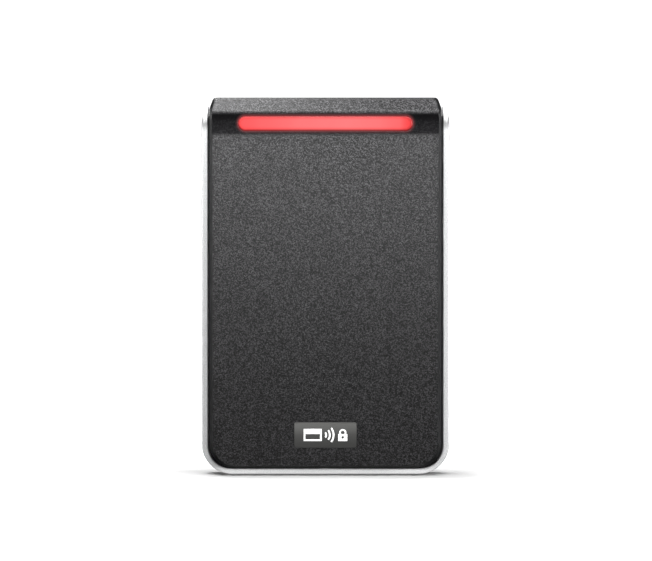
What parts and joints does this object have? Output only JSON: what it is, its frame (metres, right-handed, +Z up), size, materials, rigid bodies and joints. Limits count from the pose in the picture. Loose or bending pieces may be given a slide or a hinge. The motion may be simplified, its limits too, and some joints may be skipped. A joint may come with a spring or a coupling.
{
  "type": "rfid card reader",
  "caption": "Wall-mounted proximity card reader: black grained head with a red light bar, hung on a silver mounting plate and held by a hidden security screw.",
  "frame": {"origin": "centre of the mounting plate's rear face, midway between the two vertical wall-box slots", "axes": "+Z up, -Y out of the wall towards the user, +Y into the wall, +X to the right seen from the front"},
  "size_m": [0.08, 0.0195, 0.1216],
  "materials": {
    "satin_silver": "satin silver paint, fine metallic grain",
    "black_cover": "matte black, fine moulded grain, smooth side strips",
    "red_lens": "frosted lens, lit red",
    "grey_badge": "dark grey satin badge",
    "white_print": "white raised marks",
    "clear_plastic": "clear moulded light pipe",
    "white_plastic": "white diffuse",
    "led_white": "moulded LED",
    "green_board": "solder mask over glass-fibre board",
    "steel": "zinc-plated steel",
    "copper": "bare copper track",
    "enamelled_copper": "enamelled copper winding",
    "ferrite": "dark grey ferrite",
    "chip_black": "moulded epoxy",
    "module_can": "tinned shield can",
    "crystal_can": "drawn metal can",
    "capacitor_can": "sleeved aluminium can",
    "ceramic_tan": "ceramic chip",
    "sounder_black": "moulded sounder case",
    "sensor_smoke": "dark infrared-pass moulding",
    "black_housing": "matte black, fine spark texture",
    "seal_rubber": "silicone cord",
    "black_screw": "black-oxide steel",
    "brass": "turned brass",
    "blank_label": "blank silver-white film label",
    "header_black": "glass-filled nylon",
    "tinned_pins": "tinned brass pins",
    "plug_green": "green polyamide",
    "cage_metal": "nickel-plated brass cage"
  },
  "bodies": {
    "wall_base": {"mounting_plate": "satin_silver"},
    "reader": {"badge_plate": "grey_badge", "badge_symbol": "white_print", "bluetooth_module": "module_can", "board_screws": "steel", "bulk_capacitors": "capacitor_can", "chip_capacitors": "ceramic_tan", "clock_crystal": "crystal_can", "ferrite_sheet": "ferrite", "front_cover": "black_cover", "header_left": "header_black", "header_pins": "tinned_pins", "header_right": "header_black", "hf_antenna_coil": "copper", "housing_screws": "black_screw", "housing_seal": "seal_rubber", "lf_antenna_coil": "enamelled_copper", "light_bar_lens": "red_lens", "light_guide": "clear_plastic", "light_reflector": "white_plastic", "line_driver": "chip_black", "main_board": "green_board", "main_processor": "chip_black", "power_inductor": "ferrite", "rating_label": "blank_label", "rear_housing": "black_housing", "rfid_chip": "chip_black", "secure_element": "chip_black", "sounder": "sounder_black", "status_leds": "led_white", "surge_protectors": "chip_black", "tamper_light_pipe": "clear_plastic", "tamper_sensor": "sensor_smoke", "threaded_insert": "brass", "voltage_regulator": "chip_black"},
    "screw_washer": {"screw_washer": "steel"},
    "security_screw": {"security_screw": "steel"},
    "plug_left": {"plug_left": "plug_green"},
    "plug_right": {"plug_right": "plug_green"},
    "clamp_screw_1": {"clamp_screw_1": "steel"},
    "clamp_screw_2": {"clamp_screw_2": "steel"},
    "clamp_screw_3": {"clamp_screw_3": "steel"},
    "clamp_screw_4": {"clamp_screw_4": "steel"},
    "clamp_screw_5": {"clamp_screw_5": "steel"},
    "clamp_screw_6": {"clamp_screw_6": "steel"},
    "clamp_screw_7": {"clamp_screw_7": "steel"},
    "clamp_screw_8": {"clamp_screw_8": "steel"},
    "clamp_screw_9": {"clamp_screw_9": "steel"},
    "clamp_screw_10": {"clamp_screw_10": "steel"},
    "clamp_cage_1": {"clamp_cage_1": "cage_metal"},
    "clamp_cage_2": {"clamp_cage_2": "cage_metal"},
    "clamp_cage_3": {"clamp_cage_3": "cage_metal"},
    "clamp_cage_4": {"clamp_cage_4": "cage_metal"},
    "clamp_cage_5": {"clamp_cage_5": "cage_metal"},
    "clamp_cage_6": {"clamp_cage_6": "cage_metal"},
    "clamp_cage_7": {"clamp_cage_7": "cage_metal"},
    "clamp_cage_8": {"clamp_cage_8": "cage_metal"},
    "clamp_cage_9": {"clamp_cage_9": "cage_metal"},
    "clamp_cage_10": {"clamp_cage_10": "cage_metal"}
  },
  "joints": [
    {"name": "case_tilt", "type": "hinge", "parent": "wall_base", "child": "reader", "pos_m": [0, -0.005, 0.0545], "axis": [-1, 0, 0], "range_deg": [0, 15]},
    {"name": "lock_screw_travel", "type": "slide", "parent": "reader", "child": "screw_washer", "axis": [0, 0, -1], "range_m": [0, 0.00159]},
    {"name": "lock_screw_turn", "type": "hinge", "parent": "screw_washer", "child": "security_screw", "pos_m": [0, -0.0056, -0.05], "axis": [0, 0, -1], "range_deg": [0, 720.01]},
    {"name": "plug_left_pull", "type": "slide", "parent": "reader", "child": "plug_left", "axis": [0, 1, 0], "range_m": [0, 0.006]},
    {"name": "wire_screw_01_turn", "type": "hinge", "parent": "plug_left", "child": "clamp_screw_1", "pos_m": [-0.0114, -0.004, 0.007], "axis": [0, -1, 0], "range_deg": [0, 1080.01]},
    {"name": "wire_cage_01_rise", "type": "slide", "parent": "plug_left", "child": "clamp_cage_1", "axis": [0, 1, 0], "range_m": [0, 0.0012]},
    {"name": "wire_screw_02_turn", "type": "hinge", "parent": "plug_left", "child": "clamp_screw_2", "pos_m": [-0.0114, -0.004, 0.0035], "axis": [0, -1, 0], "range_deg": [0, 1080.01]},
    {"name": "wire_cage_02_rise", "type": "slide", "parent": "plug_left", "child": "clamp_cage_2", "axis": [0, 1, 0], "range_m": [0, 0.0012]},
    {"name": "wire_screw_03_turn", "type": "hinge", "parent": "plug_left", "child": "clamp_screw_3", "pos_m": [-0.0114, -0.004, 0], "axis": [0, -1, 0], "range_deg": [0, 1080.01]},
    {"name": "wire_cage_03_rise", "type": "slide", "parent": "plug_left", "child": "clamp_cage_3", "axis": [0, 1, 0], "range_m": [0, 0.0012]},
    {"name": "wire_screw_04_turn", "type": "hinge", "parent": "plug_left", "child": "clamp_screw_4", "pos_m": [-0.0114, -0.004, -0.0035], "axis": [0, -1, 0], "range_deg": [0, 1080.01]},
    {"name": "wire_cage_04_rise", "type": "slide", "parent": "plug_left", "child": "clamp_cage_4", "axis": [0, 1, 0], "range_m": [0, 0.0012]},
    {"name": "wire_screw_05_turn", "type": "hinge", "parent": "plug_left", "child": "clamp_screw_5", "pos_m": [-0.0114, -0.004, -0.007], "axis": [0, -1, 0], "range_deg": [0, 1080.01]},
    {"name": "wire_cage_05_rise", "type": "slide", "parent": "plug_left", "child": "clamp_cage_5", "axis": [0, 1, 0], "range_m": [0, 0.0012]},
    {"name": "plug_right_pull", "type": "slide", "parent": "reader", "child": "plug_right", "axis": [0, 1, 0], "range_m": [0, 0.006]},
    {"name": "wire_screw_06_turn", "type": "hinge", "parent": "plug_right", "child": "clamp_screw_6", "pos_m": [0.0114, -0.004, 0.007], "axis": [0, -1, 0], "range_deg": [0, 1080.01]},
    {"name": "wire_cage_06_rise", "type": "slide", "parent": "plug_right", "child": "clamp_cage_6", "axis": [0, 1, 0], "range_m": [0, 0.0012]},
    {"name": "wire_screw_07_turn", "type": "hinge", "parent": "plug_right", "child": "clamp_screw_7", "pos_m": [0.0114, -0.004, 0.0035], "axis": [0, -1, 0], "range_deg": [0, 1080.01]},
    {"name": "wire_cage_07_rise", "type": "slide", "parent": "plug_right", "child": "clamp_cage_7", "axis": [0, 1, 0], "range_m": [0, 0.0012]},
    {"name": "wire_screw_08_turn", "type": "hinge", "parent": "plug_right", "child": "clamp_screw_8", "pos_m": [0.0114, -0.004, 0], "axis": [0, -1, 0], "range_deg": [0, 1080.01]},
    {"name": "wire_cage_08_rise", "type": "slide", "parent": "plug_right", "child": "clamp_cage_8", "axis": [0, 1, 0], "range_m": [0, 0.0012]},
    {"name": "wire_screw_09_turn", "type": "hinge", "parent": "plug_right", "child": "clamp_screw_9", "pos_m": [0.0114, -0.004, -0.0035], "axis": [0, -1, 0], "range_deg": [0, 1080.01]},
    {"name": "wire_cage_09_rise", "type": "slide", "parent": "plug_right", "child": "clamp_cage_9", "axis": [0, 1, 0], "range_m": [0, 0.0012]},
    {"name": "wire_screw_10_turn", "type": "hinge", "parent": "plug_right", "child": "clamp_screw_10", "pos_m": [0.0114, -0.004, -0.007], "axis": [0, -1, 0], "range_deg": [0, 1080.01]},
    {"name": "wire_cage_10_rise", "type": "slide", "parent": "plug_right", "child": "clamp_cage_10", "axis": [0, 1, 0], "range_m": [0, 0.0012]}
  ],
  "couplings": [
    {"joint": "lock_screw_turn", "follows": "lock_screw_travel", "rad_per_m": 7915.8},
    {"joint": "wire_screw_01_turn", "follows": "wire_cage_01_rise", "rad_per_m": 15708},
    {"joint": "wire_screw_02_turn", "follows": "wire_cage_02_rise", "rad_per_m": 15708},
    {"joint": "wire_screw_03_turn", "follows": "wire_cage_03_rise", "rad_per_m": 15708},
    {"joint": "wire_screw_04_turn", "follows": "wire_cage_04_rise", "rad_per_m": 15708},
    {"joint": "wire_screw_05_turn", "follows": "wire_cage_05_rise", "rad_per_m": 15708},
    {"joint": "wire_screw_06_turn", "follows": "wire_cage_06_rise", "rad_per_m": 15708},
    {"joint": "wire_screw_07_turn", "follows": "wire_cage_07_rise", "rad_per_m": 15708},
    {"joint": "wire_screw_08_turn", "follows": "wire_cage_08_rise", "rad_per_m": 15708},
    {"joint": "wire_screw_09_turn", "follows": "wire_cage_09_rise", "rad_per_m": 15708},
    {"joint": "wire_screw_10_turn", "follows": "wire_cage_10_rise", "rad_per_m": 15708}
  ]
}
